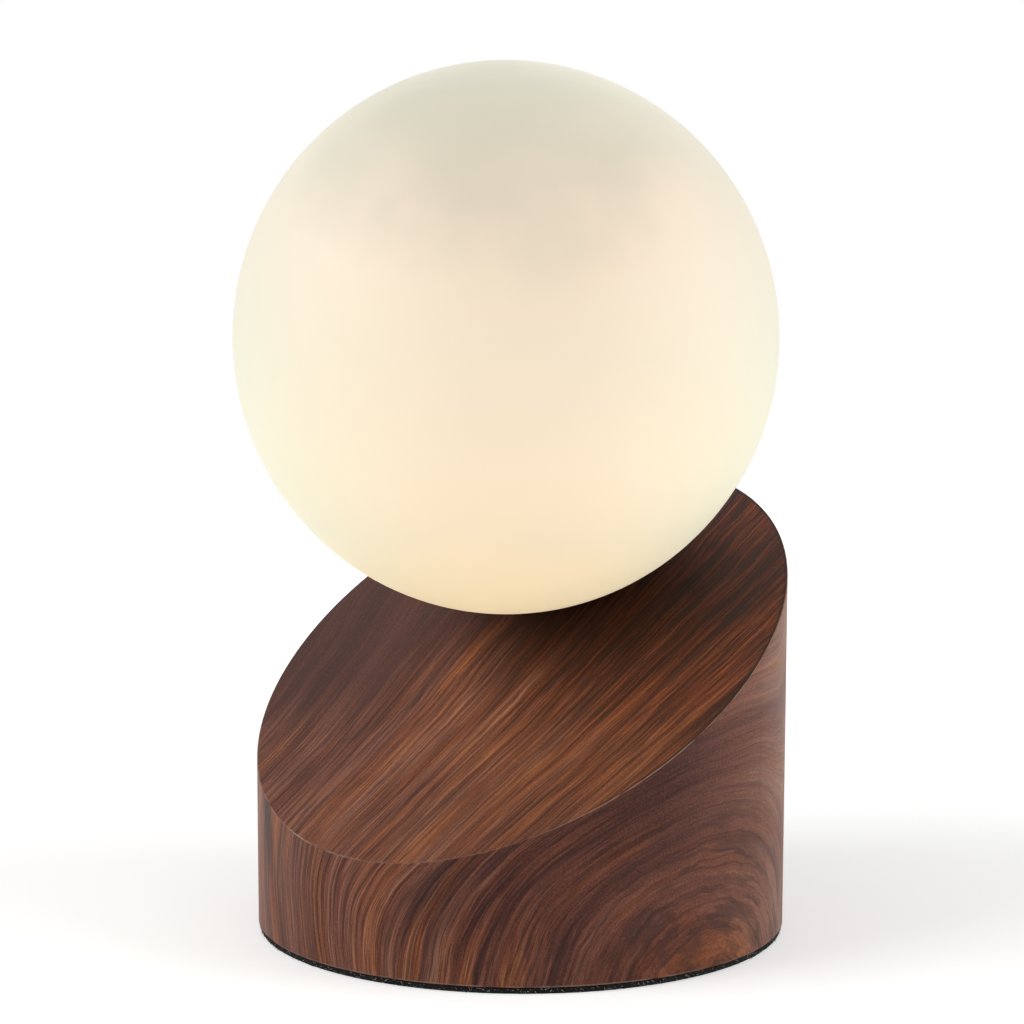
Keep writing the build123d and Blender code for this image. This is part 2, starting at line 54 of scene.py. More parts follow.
GLOBE_CENTRE = NECK_FOOT + GLOBE_RISE * NECK_AXIS
COLLAR_RADIUS = 0.0139
THREAD_PITCH = 0.004
THREAD_WIDTH = 0.0016


# Values in a node tree

class Value:
    """An output of a node. Plus, minus, times and over make the maths node for them."""

    def __init__(self, tree, socket):
        self.tree = tree
        self.socket = socket

    def __add__(self, other):
        return calc("ADD", self, other)

    def __sub__(self, other):
        return calc("SUBTRACT", self, other)

    def __rsub__(self, other):
        return calc("SUBTRACT", other, self)

    def __mul__(self, other):
        return calc("MULTIPLY", self, other)

    def __truediv__(self, other):
        return calc("DIVIDE", self, other)

    def __neg__(self):
        return calc("MULTIPLY", self, -1.0)

    def __abs__(self):
        return calc("ABSOLUTE", self)

    __radd__ = __add__
    __rmul__ = __mul__


def plug(socket, value):
    """Links a value to a socket, or sets the socket to a number or a colour."""
    if isinstance(value, Value):
        value.tree.links.new(value.socket, socket)
    elif isinstance(value, (tuple, list)):
        socket.default_value = (*value, 1.0)
    else:
        socket.default_value = value


def plug_all(node, settings):
    """Plugs several inputs of a node, by their names."""
    for name, value in settings.items():
        plug(node.inputs[name], value)


def calc(operation, *values):
    """A maths node on values and numbers."""
    tree = next(value.tree for value in values if isinstance(value, Value))
    node = tree.nodes.new("ShaderNodeMath")
    node.operation = operation
    for socket, value in zip(node.inputs, values):
        plug(socket, value)
    return Value(tree, node.outputs["Value"])


def reach(first, second):
    """The length of two sides at a right angle."""
    return calc("SQRT", first * first + second * second)


def between(value, low, high):
    """Rises smoothly from 0 to 1 as a value goes from low to high."""
    node = value.tree.nodes.new("ShaderNodeMapRange")
    node.interpolation_type = "SMOOTHSTEP"
    plug_all(node, {"Value": value, "From Min": low, "From Max": high})
    return Value(value.tree, node.outputs["Result"])


def fading(value, low, high):
    """Falls smoothly from 1 to 0 as a value goes from low to high."""
    return 1.0 - between(value, low, high)


def around(value, middle, near, far):
    """1 up to near from a middle value, fading to 0 at far from it."""
    return fading(abs(value - middle), near, far)


def blend(factor, first, second):
    """A number that goes from first to second."""
    node = factor.tree.nodes.new("ShaderNodeMix")
    node.data_type = "FLOAT"
    for index, value in ((0, factor), (2, first), (3, second)):
        plug(node.inputs[index], value)
    return Value(factor.tree, node.outputs[0])


def mixed(tree, way, factor, first, second):
    """A colour made from two."""
    node = tree.nodes.new("ShaderNodeMix")
    node.data_type = "RGBA"
    node.blend_type = way
    for index, value in ((0, factor), (6, first), (7, second)):
        plug(node.inputs[index], value)
    return Value(tree, node.outputs[2])


def tint(factor, first, second):
    """A colour that goes from first to second."""
    return mixed(factor.tree, "MIX", factor, first, second)


def filtered(colour, by):
    """A colour multiplied by another."""
    return mixed(colour.tree, "MULTIPLY", 1.0, colour, by)


def stained(colour, share, by):
    """A colour that is multiplied by another where the share is 1."""
    return tint(share, colour, filtered(colour, by))


def shades(value, stops):
    """A colour ramp from (place, colour) pairs."""
    node = value.tree.nodes.new("ShaderNodeValToRGB")
    ramp = node.color_ramp
    while len(ramp.elements) < len(stops):
        ramp.elements.new(1.0)
    for element, (place, colour) in zip(ramp.elements, stops):
        element.position = place
        element.color = (*colour, 1.0)
    plug(node.inputs["Fac"], value)
    return Value(value.tree, node.outputs["Color"])


def place_mm(tree):
    """The piece's own coordinates, in millimetres."""
    source = tree.nodes.new("ShaderNodeTexCoord")
    scale = tree.nodes.new("ShaderNodeVectorMath")
    scale.operation = "SCALE"
    plug(scale.inputs["Scale"], MM)
    tree.links.new(source.outputs["Object"], scale.inputs[0])
    return Value(tree, scale.outputs["Vector"])


def axes(place):
    """The x, y and z of a place."""
    node = place.tree.nodes.new("ShaderNodeSeparateXYZ")
    plug(node.inputs["Vector"], place)
    return [Value(place.tree, node.outputs[axis]) for axis in "XYZ"]


def vector_of(x, y, z):
    """A place made from its x, y and z."""
    node = x.tree.nodes.new("ShaderNodeCombineXYZ")
    plug_all(node, {"X": x, "Y": y, "Z": z})
    return Value(x.tree, node.outputs["Vector"])


def grain(place, scale, detail=2.0, roughness=0.5):
    """Noise from 0 to 1; the scale is per millimetre."""
    node = place.tree.nodes.new("ShaderNodeTexNoise")
    plug_all(node, {"Vector": place, "Scale": scale, "Detail": detail, "Roughness": roughness})
    return Value(place.tree, node.outputs["Fac"])


def relief(height, depth_mm, strength):
    """Bump of a real depth, in millimetres, as the normal of a shader."""
    node = height.tree.nodes.new("ShaderNodeBump")
    plug_all(node, {"Strength": strength, "Distance": depth_mm / MM, "Height": height})
    return Value(height.tree, node.outputs["Normal"])


def seen_directly(tree):
    """1 for what the eye meets, straight, mirrored or through glass, and 0 for light that is passed on."""
    rays = tree.nodes.new("ShaderNodeLightPath")
    camera, glossy, through = (
        Value(tree, rays.outputs[f"Is {kind} Ray"]) for kind in ("Camera", "Glossy", "Transmission"))
    return calc("MAXIMUM", calc("MAXIMUM", camera, glossy), through)


def new_finish(name):
    """A material with its shader, and the place on the piece that its textures follow."""
    finish = bpy.data.materials.new(name)
    finish.use_nodes = True
    tree = finish.node_tree
    tree.nodes.clear()
    shader = tree.nodes.new("ShaderNodeBsdfPrincipled")
    output = tree.nodes.new("ShaderNodeOutputMaterial")
    tree.links.new(shader.outputs["BSDF"], output.inputs["Surface"])
    return finish, shader, place_mm(tree)


def dress(finish, *nodes):
    """Gives CAD nodes a finish in place of the plain one."""
    for node in nodes:
        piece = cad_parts[node]
        if not piece.material_slots:
            piece.data.materials.append(finish)
        for slot in piece.material_slots:
            slot.material = finish


# Wood: lengths in millimetres, angles round the side in radians from the front to the right

EYE_ANGLE = 1.264  # round the side to the eye of the figure
EYE_DEPTH = 6.5  # of the eye below the base's underside
STRAND_ACROSS = 36.8  # the golden strand's place across the grain of the slope
WOOD_TONES = (
    (0.08, (0.030, 0.009, 0.006)),
    (0.25, (0.070, 0.020, 0.011)),
    (0.40, (0.118, 0.038, 0.020)),
    (0.50, (0.154, 0.052, 0.026)),
    (0.61, (0.192, 0.069, 0.034)),
    (0.76, (0.252, 0.100, 0.049)),
    (0.95, (0.340, 0.154, 0.076)),
)
RING_BROWN = (0.028, 0.012, 0.010)
ARC_BROWN = (0.024, 0.013, 0.013)
THREAD_BROWN = (0.026, 0.013, 0.011)
PORE_BROWN = (0.024, 0.012, 0.011)
EDGE_BROWN = (0.016, 0.008, 0.006)
RUBBED_AND_LIT_BROWN = (0.42, 0.28, 0.22)
# Colours that the wood's own is multiplied by
PURPLE_GREY, GOLDEN = (0.95, 0.96, 1.20), (1.08, 0.90, 0.70)
# The last of these paints the globe's shadow on the slope; the greyer one also paints a sheen on the side
RUDDY, GREYER_AND_SHEEN, PAINTED_SHADOW_TINT = (1.06, 0.84, 0.70), (0.97, 1.07, 1.14), (0.37, 0.31, 0.20)


def side_figure(angle, z):
    """Round the side the figure arches about its eye, low on the right, and stands upright at the rear.

    Gives the places across and along the grain, the size of the arch and the share of the rear.
    """
    rightward = (angle - EYE_ANGLE) * (BASE_RADIUS * MM)
    rear = calc("MAXIMUM", between(rightward, 22.0, 70.0), between(-rightward, 110.0, 190.0))
    not_rear = 1.0 - rear
    risen = calc("MAXIMUM", z - 8.7, 0.0)
    leant = rightward - risen * risen * not_rear * 0.0138
    height = z + EYE_DEPTH
    far_left = between(-rightward, 50.0, 78.0) * not_rear
    arch = reach(leant, height * not_rear) - far_left * z * 0.34
    along = calc("ARCTAN2", height, -leant) * 45.0 + rear * z * 0.5
    return 67.4 - arch, along, arch, rear


def slope_figure(x, up):
    """On the slope the figure runs nearly straight up, leaning and spreading to the right."""
    bent = x * up * -0.0049
    bow = up * up * 0.00175
    return x + bent + bow - up * 0.105 - 12.6


def side_tones(angle, z, rear):
    """Round the side: deep to the right of the front, paler at the far right where a sheen is painted, evener
    at the rear.
    """
    beyond_dip = between(abs(angle - 0.82), 0.15, 0.60)
    low_front = around(angle, 0.26, 0.15, 0.40) * fading(z, 5.0, 13.0)
    right = between(angle, 0.75, 1.20)
    # Painted sheen: the far right of the side is paler
    painted_far_right_sheen = between(angle, 1.25, 1.75)
    left = between(-angle, 0.10, 0.55)
    under_rim = around(angle, 0.98, 0.08, 0.32) * between(z, 16.0, 26.0)
    low_right = between(angle, 1.35, 1.60) * fading(z, 6.0, 20.0)
    lift = beyond_dip * 0.17 - 0.06 + low_front * 0.14 - right * 0.10 + painted_far_right_sheen * 0.22
    lift = lift + left * 0.11 - under_rim * 0.08 + low_right * 0.11
    return lift * (1.0 - rear * 0.6)


def slope_tones(x, up):
    """Up the slope: paler low in the middle, deeper higher up and on the right."""
    low_middle = around(x, 13.0, 4.0, 18.0) * fading(up, -34.0, -18.0)
    high_right = between(x, 8.0, 28.0) * between(up, -34.0, -14.0)
    high_middle = between(x, -16.0, -4.0) * between(up, -32.0, -10.0)
    return low_middle * 0.13 - high_right * 0.04 - high_middle * 0.12


def dark_wood():
    """Satin dark wood: straight figure on the slope face, arched figure round the side."""
    finish, shader, place = new_finish("dark_wood")
    x, y, z = axes(place)
    angle = calc("ARCTAN2", x, -y)
    up = y / math.cos(SLOPE_ANGLE)
    below_slope = (y * math.tan(SLOPE_ANGLE) + SLOPE_HEIGHT * MM - z) * math.cos(SLOPE_ANGLE)
    inward = BASE_RADIUS * MM - reach(x, y)
    on_side = between(below_slope, 0.05, 0.12)
    on_slope = 1.0 - on_side

    # Places across and along the grain, wandering a little, more so near the eye
    side_across, side_along, arch, rear = side_figure(angle, z)
    near_eye = fading(arch, 24.0, 44.0) * on_side
    across = blend(on_slope, side_across, slope_figure(x, up))
    along = blend(on_slope, side_along, up)
    for scale, share in ((0.035, 4.0), (0.18, 0.35), (0.30, near_eye * 1.6)):
        across = across + (grain(place, scale) - 0.5) * share

    def streaks(across_scale, along_scale, seed, detail, roughness=0.5):
        """Noise drawn out along the grain, about 0 at its middle."""
        drawn_out = vector_of(across * across_scale, along * along_scale, seed)
        return grain(drawn_out, 1.0, detail, roughness) - 0.5

    broad = streaks(0.085, 0.012, 3.1, 1.0)
    bands = streaks(0.32, 0.020, 7.7, 2.0)
    lines = streaks(1.4, 0.032, 12.3, 3.0, 0.62)
    fibres = streaks(5.0, blend(on_slope, 0.14, 0.075), 21.9, 2.0, 0.6)
    rings = streaks(0.50, 0.012, 31.4, 1.0)
    pores = streaks(2.8, 0.13, 44.2, 1.0)
    hue = streaks(0.26, 0.030, 57.3, 2.0)
    arcs = streaks(0.34, 0.055, 66.6, 2.0)
    threads = streaks(1.7, 0.016, 75.1, 1.0)

    # Calmer on the right of the side, where the washed-out figure is partly a painted sheen, and on the upper
    # left of the slope; crisper on the slope's right
    calm = between(angle, 0.35, 1.15) - between(angle, 1.9, 2.8) * 0.45
    calm = (calm + between(-angle, 1.7, 2.8) * 0.55) * on_side
    slope_left = between(up * 0.30 - x, 6.0, 26.0) * between(up, -38.0, -14.0) * on_slope
    slope_right = between(x, 6.0, 26.0) * between(up, -30.0, -12.0) * on_slope
    crisp = 1.0 - calm * 0.62 - slope_left * 0.74 + slope_right * 0.28
    front = between(angle, -0.10, 0.10) * fading(angle, 0.40, 0.70) * on_side
    striped = front * 0.50 + 0.78 - slope_left * 0.60 - calm * 0.36

    # Tone, from broad zones down to single fibres and specks
    tone = bands * striped + (fibres * 1.10 + lines * 1.40) * crisp
    tone = tone + broad * (0.60 - slope_left * 0.30)
    tone = tone + (grain(place, 3.2) - 0.5) * (calm * 0.20 + 0.45) + 0.50
    tone = tone + blend(on_slope, side_tones(angle, z, rear), slope_tones(x, up))
    eye = fading(arch, 11.0, 19.0) * on_side
    tone = tone + eye * 0.12
    # Darker heartwood: high on the left of the slope, and one streak on the left of the side
    streak = around(angle + z * 0.006, -0.455, 0.015, 0.070) * on_side
    tone = tone - slope_left * 0.22 - streak * 0.36
    # A golden strand between two dark ones, near the slope's right edge
    from_strand = abs(across - STRAND_ACROSS)
    strand = fading(from_strand, 0.3, 1.6) * on_slope
    beside = between(from_strand, 1.2, 2.2) * fading(from_strand, 2.4, 4.2) * on_slope
    tone = tone + strand * 0.17 - beside * 0.13
    colour = shades(tone, WOOD_TONES)

    # Purple-grey and golden strands; the slope turns from the one to the other from left to right
    drift = blend(on_slope, -0.07, x * 0.0042)
    warm = between(hue + drift, -0.20, 0.20) * (1.0 - slope_left * 0.75)
    warm = calc("MAXIMUM", warm - calm * 0.30, eye)
    colour = filtered(colour, tint(warm, PURPLE_GREY, GOLDEN))
    ruddy = between(x, 2.0, 24.0) * between(up, -28.0, -4.0) * on_slope
    colour = stained(colour, ruddy, RUDDY)
    # Painted sheen: the far right of the side turns greyer; the upper left of the slope turns greyer in its
    # own tone
    painted_side_sheen = between(angle, 1.35, 1.75) * fading(angle, 2.0, 2.6) * on_side
    colour = stained(colour, calc("MAXIMUM", painted_side_sheen, slope_left), GREYER_AND_SHEEN)

    # Growth rings, darkening slowly and ending sharply; broken dark arcs about the eye; threads and pores
    plain = calc("MAXIMUM", calm * (1.0 - near_eye), slope_left * 1.5)
    ring = between(rings, -0.10, 0.02) * fading(rings, 0.02, 0.035)
    ring = ring * (on_side * 0.18 + 0.30) * (1.0 - plain * 0.55)
    colour = tint(ring, colour, RING_BROWN)
    arc = between(fibres * 0.35 + arcs, 0.0, 0.14) * near_eye
    colour = tint(arc * 0.50, colour, ARC_BROWN)
    thread = fading(abs(threads), 0.0, 0.022)
    colour = tint(thread * crisp * 0.42, colour, THREAD_BROWN)
    dark_pores = between(pores, 0.07, 0.15)
    colour = tint(dark_pores * crisp * 0.55, colour, PORE_BROWN)

    # Painted shadow of the globe: much deeper and redder where the globe sits low over the slope, and it
    # stays in the wood's colour when the globe is lifted
    painted_globe_shadow = fading(reach(x - 13.0, up - 15.0), 10.0, 36.0) * on_slope
    colour = stained(colour, painted_globe_shadow, PAINTED_SHADOW_TINT)

    # Rubbed edges: pale on the break itself, partly wear and partly a painted highlight, with a dark line
    # inside it on the right of the slope
    rubbed_and_lit = fading(calc("MAXIMUM", below_slope, inward), 0.12, 0.17)
    rubbed_and_lit = rubbed_and_lit * (between(abs(angle - 0.30), 0.25, 0.65) * 0.8 + 0.2)
    foot = fading(z - FELT_THICKNESS * MM, 0.22, 0.40)
    worn_and_lit = calc("MAXIMUM", rubbed_and_lit, foot) * between(grain(place, 0.22, 3.0), 0.30, 0.60)
    inside = between(inward, 0.10, 0.20) * fading(inward, 0.40, 0.75)
    inside = inside * on_slope * between(angle, 0.6, 1.1)
    colour = tint(inside * 0.75, colour, EDGE_BROWN)
    colour = tint(worn_and_lit * 0.65, colour, RUBBED_AND_LIT_BROWN)

    smear = grain(place, 0.09, 3.0)
    plug_all(shader, {
        "Base Color": colour,
        "Roughness": lines * 0.12 + smear * 0.10 + 0.46,
        "Specular IOR Level": 0.17,
        "Normal": relief(fibres * 0.5 - dark_pores * 0.6, 0.03, 0.5),
    })
    return finish


# The other finishes

GLOW = (
    (0.00, (0.76, 0.60, 0.34)),
    (0.15, (0.475, 0.455, 0.315)),
    (0.45, (0.370, 0.360, 0.265)),
    (0.70, (0.38, 0.31, 0.22)),
    (0.90, (0.33, 0.30, 0.21)),
)
GLASS = (
    (0.00, (0.62, 0.53, 0.37)),
    (0.30, (0.57, 0.54, 0.42)),
    (0.55, (0.53, 0.52, 0.43)),
    (0.80, (0.55, 0.53, 0.45)),
    (1.00, (0.58, 0.57, 0.49)),
)
EMBER = (1.32, 1.03, 1.0)  # multiplies the glow where it is warmest
# Painted shade of the bulb's end on the globe's top: the colours the glow and the glass turn to under it
CLOUD_SHADE_GLOW, CLOUD_SHADE_GLASS = (0.27, 0.275, 0.195), (0.33, 0.33, 0.27)
WARMEST_WAY, CLOUD_SHADE_WAY = (0.56, -0.82, -0.10), (0.32, -0.64, 0.70)  # directions from the globe's centre


def opal_glass():
    """Satin opal glass lit from inside: warm at the middle, greyer at its top under a painted shade, yellower
    at its foot.
    """
    finish, shader, place = new_finish("opal_glass")
    place_axes = axes(place)

    def facing(direction):
        """1 where the glass faces a direction, 0 at its sides and -1 behind."""
        x, y, z = (
            (axis - middle * MM) * (share / GLOBE_RADIUS / MM)
            for axis, middle, share in zip(place_axes, GLOBE_CENTRE, direction))
        return x + y + z

    uneven = grain(place, 0.045, 3.0) - 0.5
    level = facing((0.0, 0.0, 1.0)) * 0.5 + 0.5 + uneven * 0.08
    glow, body = shades(level, GLOW), shades(level, GLASS)

    # Warmest at the front and the back, with a painted cloud of shade above, in both the glow and the glass
    # colour; holder and collar shade the neck
    ember = between(abs(facing(WARMEST_WAY)), 0.35, 1.0)
    cloud_shade = between(uneven * 0.34 + facing(CLOUD_SHADE_WAY), 0.70, 1.04)
    glow = tint(cloud_shade * 0.55, stained(glow, ember, EMBER), CLOUD_SHADE_GLOW)
    shaded = calc("MAXIMUM", between(facing(-NECK_AXIS), 0.74, 0.97) * 0.85, cloud_shade * 0.10)

    plug_all(shader, {
        "Base Color": tint(cloud_shade * 0.48, body, CLOUD_SHADE_GLASS),
        "Emission Color": tint(shaded, glow, (0.0, 0.0, 0.0)),
        "Emission Strength": 1.0,
        "Roughness": grain(place, 1.6) * 0.10 + 0.55,
        "Sheen Weight": 0.30,
        "Sheen Roughness": 0.45,
        "Coat Weight": 0.5,
        "Coat Roughness": 0.90,
        "Normal": relief(grain(place, 0.12), 0.05, 0.3),
    })
    return finish


def metal_finish(name, colour, dark, roughness):
    """Metal with a fine lay of tool marks and a little tarnish."""
    finish, shader, place = new_finish(name)
    x, y, z = axes(place)
    marks = grain(vector_of(x * 0.4, y * 0.4, z * 6.0), 1.5, 3.0, 0.6)
    tarnish = between(grain(place, 0.25, 3.0), 0.45, 0.75)
    plug_all(shader, {
        "Base Color": tint(tarnish, colour, dark),
        "Metallic": 1.0,
        "Roughness": marks * 0.22 + roughness,
        "Normal": relief(marks, 0.015, 0.4),
    })
    return finish


def moulded_finish(name, colour, shade, roughness, scale=1.2, depth=0.02):
    """Moulded, fired or painted surface with fine grain and handling marks."""
    finish, shader, place = new_finish(name)
    speckle = grain(place, scale, 3.0, 0.6)
    smear = grain(place, 0.11, 3.0)
    mottled = tint(between(smear, 0.35, 0.75), colour, shade)
    plug_all(shader, {
        "Base Color": tint(between(speckle, 0.62, 0.78) * 0.5, mottled, shade),
        "Roughness": smear * 0.18 + roughness,
        "Normal": relief(speckle, depth, 0.5),
    })
    return finish


def glowing_finish(name, colour, glow, strength, roughness):
    """A diffusing surface that is lit from behind, a little uneven."""
    finish, shader, place = new_finish(name)
    uneven = grain(place, 0.35, 3.0)
    dust = grain(place, 2.4)
    plug_all(shader, {
        "Base Color": tint(uneven, colour, [0.9 * part for part in colour]),
        "Emission Color": tint(uneven, glow, [0.82 * part for part in glow]),
        "Emission Strength": strength,
        "Roughness": dust * 0.15 + roughness,
        "Normal": relief(dust, 0.01, 0.4),
    })
    return finish


def black_felt():
    """Pressed black felt, matted, with paler lint caught in it."""
    finish, shader, place = new_finish("black_felt")
    nap = grain(place, 3.5, 4.0, 0.7)
    caught = between(grain(place, 2.2, 3.0, 0.65), 0.60, 0.72)
    matted = tint(nap, (0.006, 0.006, 0.006), (0.022, 0.020, 0.019))
    plug_all(shader, {
        "Base Color": tint(caught * 0.5, matted, (0.20, 0.19, 0.18)),
        "Roughness": nap * 0.1 + 0.85,
        "Specular IOR Level": 0.15,
        "Normal": relief(nap, 0.2, 0.9),
    })
    return finish


wood = dark_wood()
opal = opal_glass()
felt = black_felt()
lint = moulded_finish("felt_lint", (0.46, 0.44, 0.41), (0.16, 0.155, 0.15), 0.80)
plated_steel = metal_finish("plated_steel", (0.66, 0.66, 0.63), (0.44, 0.43, 0.40), 0.24)
plain_brass = metal_finish("plain_brass", (0.74, 0.53, 0.22), (0.50, 0.33, 0.13), 0.22)
black_metal = moulded_finish("black_metal", (0.020, 0.020, 0.021), (0.045, 0.043, 0.041), 0.34)
black_rubber = moulded_finish("black_rubber", (0.014, 0.014, 0.014), (0.034, 0.033, 0.032), 0.58, 2.2, 0.03)
white_plastic = moulded_finish("white_plastic", (0.78, 0.77, 0.73), (0.66, 0.64, 0.58), 0.40)
ceramic = moulded_finish("white_ceramic", (0.84, 0.82, 0.76), (0.70, 0.66, 0.58), 0.62, 2.6, 0.04)
bulb_plastic = moulded_finish("bulb_plastic", (0.86, 0.85, 0.82), (0.76, 0.74, 0.70), 0.26)
brown_sleeve = moulded_finish("brown_sleeve", (0.15, 0.058, 0.024), (0.085, 0.034, 0.016), 0.46)
blue_sleeve = moulded_finish("blue_sleeve", (0.030, 0.115, 0.40), (0.018, 0.070, 0.26), 0.46)
board_white = moulded_finish("board_white", (0.84, 0.84, 0.82), (0.70, 0.70, 0.67), 0.38)
frosted_cover = glowing_finish("frosted_cover", (0.80, 0.76, 0.68), (1.0, 0.78, 0.48), 0.44, 0.42)
chip_yellow = glowing_finish("chip_yellow", (0.86, 0.62, 0.10), (1.0, 0.78, 0.42), 2.0, 0.22)

dress(wood, "wooden_base")
dress(opal, "glass_globe")
dress(plated_steel, "bottom_plate", "plate_screws", "terminal_screws", "terminal_fixing_screw", "hollow_tube")
dress(plated_steel, "lock_washer", "tube_nut", "holder_bracket", "holder_screws", "bulb_pins")
dress(plain_brass, "terminal_clamps", "holder_contacts")
dress(black_metal, "globe_collar")
dress(black_rubber, "inlet_bushing", "globe_gasket")
dress(white_plastic, "terminal_block")
dress(ceramic, "lampholder")
dress(bulb_plastic, "bulb_base")
dress(brown_sleeve, "live_lead")
dress(blue_sleeve, "neutral_lead")
dress(board_white, "led_board")
dress(frosted_cover, "bulb_cover")
dress(chip_yellow, "led_chips")


# Pieces

def start_mesh(add, name, **where):
    """Adds a primitive with nothing else selected and returns its object."""
    bpy.ops.object.select_all(action="DESELECT")
    add(**where)
    piece = bpy.context.object
    piece.name = name
    return piece


def edit_all():
    """Goes into edit mode with everything selected."""
    bpy.ops.object.mode_set(mode="EDIT")
    bpy.ops.mesh.select_all(action="SELECT")


def end_edit():
    """Goes back to object mode."""
    bpy.ops.object.mode_set(mode="OBJECT")


def pick(piece, vertices):
    """Goes into edit mode with only these vertices of a piece selected."""
    bpy.ops.object.mode_set(mode="EDIT")
    bpy.ops.mesh.select_mode(type="VERT")
    bpy.ops.mesh.select_all(action="DESELECT")
    end_edit()
    for index in vertices:
        piece.data.vertices[index].select = True
    bpy.ops.object.mode_set(mode="EDIT")


def apply_place():
    """Puts the active object's place, turn and size into its mesh."""
    bpy.ops.object.transform_apply(location=True, rotation=True, scale=True)


def settle(piece, finish, body, angle=40.0):
    """Puts the place into the mesh, tidies it, and gives it its finish and its body."""
    bpy.ops.object.select_all(action="DESELECT")
    piece.select_set(True)
    bpy.context.view_layer.objects.active = piece
    apply_place()
    edit_all()
    bpy.ops.mesh.remove_doubles(threshold=1e-7)
    bpy.ops.mesh.normals_make_consistent(inside=False)
    end_edit()
    bpy.ops.object.shade_smooth_by_angle(angle=math.radians(angle))
    piece.data.materials.clear()
    piece.data.materials.append(finish)
    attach(piece, body)
    return piece


def felt_disc():
    """The felt pad: drawn up ring by ring, with a soft edge that is left a little ragged."""
    radius = FELT_RADIUS - 0.0003
    # How far each ring is drawn up, and how much wider it is than the one before
    rings = ((0.00016, 0.0002), (0.00026, 0.0001), (0.00026, 0.0), (0.00026, -0.0001), (0.00016, -0.0002))
    raggedness = 0.00016
    flat = 0.00001  # heights below this are the underside
    edge_margin = 0.0001  # from the felt's faces to the ragged part of its edge
    piece = start_mesh(
        bpy.ops.mesh.primitive_circle_add, "felt_disc", vertices=480, radius=radius,
        fill_type="NGON", location=(0, 0, 0))
    edit_all()
    for lift, wider in rings:
        bpy.ops.mesh.extrude_region_move(TRANSFORM_OT_translate={"value": (0, 0, lift)})
        share = (radius + wider) / radius
        bpy.ops.transform.resize(value=(share, share, 1.0))
        radius += wider
    end_edit()
    heights = [(vertex.index, vertex.co.z) for vertex in piece.data.vertices]
    pick(piece, [index for index, height in heights if height < flat])
    bpy.ops.mesh.edge_face_add()
    end_edit()
    pick(piece, [index for index, height in heights if edge_margin < height < FELT_THICKNESS - edge_margin])
    bpy.ops.transform.vertex_random(offset=raggedness, uniform=0.0, normal=0.0, seed=7)
    end_edit()
    return settle(piece, felt, "base", 70.0)


def one_hair():
    """A single hair 1 mm long: drawn out along X from a three-sided foot, bent, and thinned to its tip."""
    hair = start_mesh(
        bpy.ops.mesh.primitive_circle_add, "hair", vertices=3, radius=0.00005, fill_type="NGON",
        location=(-0.0005, 0, 0), rotation=(0, math.pi / 2, 0))
    apply_place()
    edit_all()
    for step, aside in ((0.00030, 0.00004), (0.00035, 0.0), (0.00035, -0.00010)):
        bpy.ops.mesh.extrude_region_move(TRANSFORM_OT_translate={"value": (step, aside, 0)})
        bpy.ops.transform.resize(value=(1.0, 0.8, 0.8))
    end_edit()
    return hair


def felt_hairs(name, finish, count, seed, shortest, longest):
    """Loose hairs along the felt's edge: copies of one hair, each at its own length and angle."""
    depth = 0.00012  # how far in or out of the edge a hair's middle lies
    margin = 0.00018  # from a hair's middle to the felt's faces
    clearance = 0.00006  # from a hair's ends to the felt's faces
    splay = 0.35  # of a hair from the edge's own direction
    chance = random.Random(seed)
    pattern = one_hair()
    hairs = []
    for index in range(count):
        turn = math.tau * (index + chance.random()) / count
        length = chance.uniform(shortest, longest)
        radius = FELT_RADIUS - depth + chance.uniform(0.0, 2 * depth)
        height = chance.uniform(margin, FELT_THICKNESS - margin)
        room = min(1.0, 2.0 * (min(height, FELT_THICKNESS - height) - clearance) / length)
        lean = math.asin(room * chance.uniform(-1.0, 1.0))
        place = Matrix.Rotation(turn, 4, "Z") @ Matrix.Translation((radius, 0, height))
        heading = Matrix.Rotation(math.pi / 2 + chance.uniform(-splay, splay), 4, "Z")
        lie = heading @ Matrix.Rotation(lean, 4, "Y")
        size = Matrix.Diagonal((length * MM, 1.0, 1.0, 1.0))
        hair = pattern.copy()
        hair.data = pattern.data.copy()
        hair.data.transform(place @ lie @ size)
        bpy.context.scene.collection.objects.link(hair)
        hairs.append(hair)
    bpy.data.objects.remove(pattern)
    bpy.ops.object.select_all(action="DESELECT")
    for hair in hairs:
        hair.select_set(True)
    bpy.context.view_layer.objects.active = hairs[0]
    bpy.ops.object.join()
    piece = bpy.context.object
    piece.name = name
    return settle(piece, finish, "base")


def screw_ridge(name, radius, height, turns, top, finish, body):
    """A rounded ridge wound down round the neck's axis, from a height over the slope face."""
    steps_per_turn = 72
    piece = start_mesh(
        bpy.ops.mesh.primitive_circle_add, name, vertices=10, radius=THREAD_WIDTH / 2,
        location=(radius, 0, 0), rotation=(math.pi / 2, 0, 0))
    apply_place()
    edit_all()
    flatter = 2.0 * height / THREAD_WIDTH
    bpy.ops.transform.resize(value=(flatter, 1.0, 1.0), center_override=(radius, 0, 0))
    end_edit()
    winding = piece.modifiers.new("winding", "SCREW")
    winding.axis = "Z"
    winding.angle = math.tau * turns
    winding.screw_offset = -THREAD_PITCH * turns
    winding.steps = int(steps_per_turn * turns)
    winding.render_steps = winding.steps
    bpy.ops.object.modifier_apply(modifier="winding")
    bpy.ops.object.mode_set(mode="EDIT")
    bpy.ops.mesh.select_all(action="DESELECT")
    bpy.ops.mesh.select_non_manifold()
    bpy.ops.mesh.fill_holes(sides=0)
    end_edit()
    start = Matrix.Translation(NECK_FOOT + top * NECK_AXIS)
    piece.matrix_world = start @ Matrix.Rotation(SLOPE_ANGLE, 4, "X")
    return settle(piece, finish, body, 60.0)


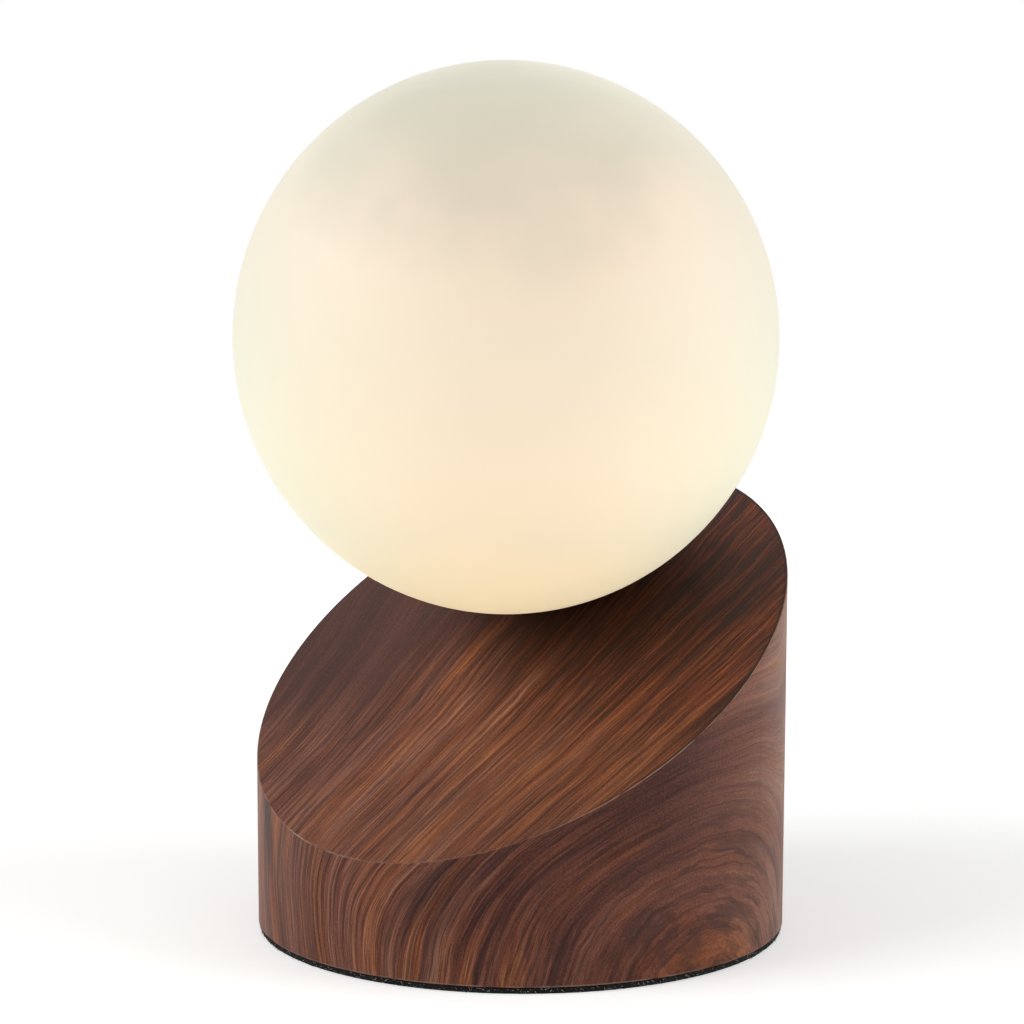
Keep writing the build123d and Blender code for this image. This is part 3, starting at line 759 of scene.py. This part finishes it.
felt_piece = felt_disc()
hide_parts("felt_pad")
dark_hairs = felt_hairs("felt_hairs", felt, 700, 11, 0.0004, 0.0010)
pale_hairs = felt_hairs("felt_lint", lint, 640, 23, 0.0002, 0.0007)
screw_ridge("neck_thread", NECK_RADIUS, 0.0006, 1.4, -0.0022, opal, "globe")
screw_ridge("collar_thread", COLLAR_RADIUS, 0.00012, 2.4, -0.0030, black_metal, "base")


# Floor, light and camera

def pale_floor():
    """White far off, and pale under the lamp, where it keeps the shadow."""
    floor = start_mesh(bpy.ops.mesh.primitive_plane_add, "floor", size=8.0, location=(0, 0, 0))
    finish = bpy.data.materials.new("pale_floor")
    finish.use_nodes = True
    tree = finish.node_tree
    tree.nodes.clear()
    matt = tree.nodes.new("ShaderNodeBsdfDiffuse")
    plug(matt.inputs["Color"], (0.86, 0.86, 0.86))
    x, y, _ = axes(place_mm(tree))
    white = blend(between(reach(x, y), 80.0, 600.0), 0.40, 1.0)
    lift = tree.nodes.new("ShaderNodeEmission")
    plug(lift.inputs["Strength"], seen_directly(tree) * white)
    both = tree.nodes.new("ShaderNodeAddShader")
    output = tree.nodes.new("ShaderNodeOutputMaterial")
    tree.links.new(matt.outputs["BSDF"], both.inputs[0])
    tree.links.new(lift.outputs["Emission"], both.inputs[1])
    tree.links.new(both.outputs["Shader"], output.inputs["Surface"])
    floor.data.materials.append(finish)


def white_room():
    """Pure white to the eye, a softer white as light."""
    world = bpy.data.worlds.new("white_room")
    bpy.context.scene.world = world
    world.use_nodes = True
    tree = world.node_tree
    tree.nodes.clear()
    sky = tree.nodes.new("ShaderNodeBackground")
    plug(sky.inputs["Color"], (1.0, 1.0, 1.0))
    plug(sky.inputs["Strength"], blend(seen_directly(tree), 0.37, 1.0))
    output = tree.nodes.new("ShaderNodeOutputWorld")
    tree.links.new(sky.outputs["Background"], output.inputs["Surface"])


def soft_light(name, place, target, size, watts):
    """A round lamp that faces a target."""
    data = bpy.data.lights.new(name, "AREA")
    data.shape = "DISK"
    data.size = size
    data.energy = watts
    lamp = bpy.data.objects.new(name, data)
    bpy.context.scene.collection.objects.link(lamp)
    lamp.location = place
    lamp.rotation_euler = (Vector(target) - Vector(place)).to_track_quat("-Z", "Y").to_euler()


def photo_camera():
    """Stands as the photograph's did: a little above the globe's foot, looking slightly down."""
    data = bpy.data.cameras.new("camera")
    data.lens = 61.35
    data.sensor_width = 36.0
    data.shift_y = 0.1098
    data.clip_start = 0.01
    camera = bpy.data.objects.new("camera", data)
    bpy.context.scene.collection.objects.link(camera)
    place = Matrix.Translation((0.17443, -0.28099, 0.08656))
    turn = Matrix.Rotation(math.radians(32.13), 4, "Z")
    tip = Matrix.Rotation(math.radians(90.0 - 5.151), 4, "X")
    roll = Matrix.Rotation(0.0023, 4, "Z")
    camera.matrix_world = place @ turn @ tip @ roll
    bpy.context.scene.camera = camera


pale_floor()
white_room()
soft_light("key", (-0.62, -0.80, 0.66), (0, 0, 0.07), 0.8, 7.0)
soft_light("fill", (0.82, 0.30, 0.36), (0, 0, 0.08), 0.7, 4.0)
photo_camera()

bpy.context.scene.view_settings.view_transform = "Standard"
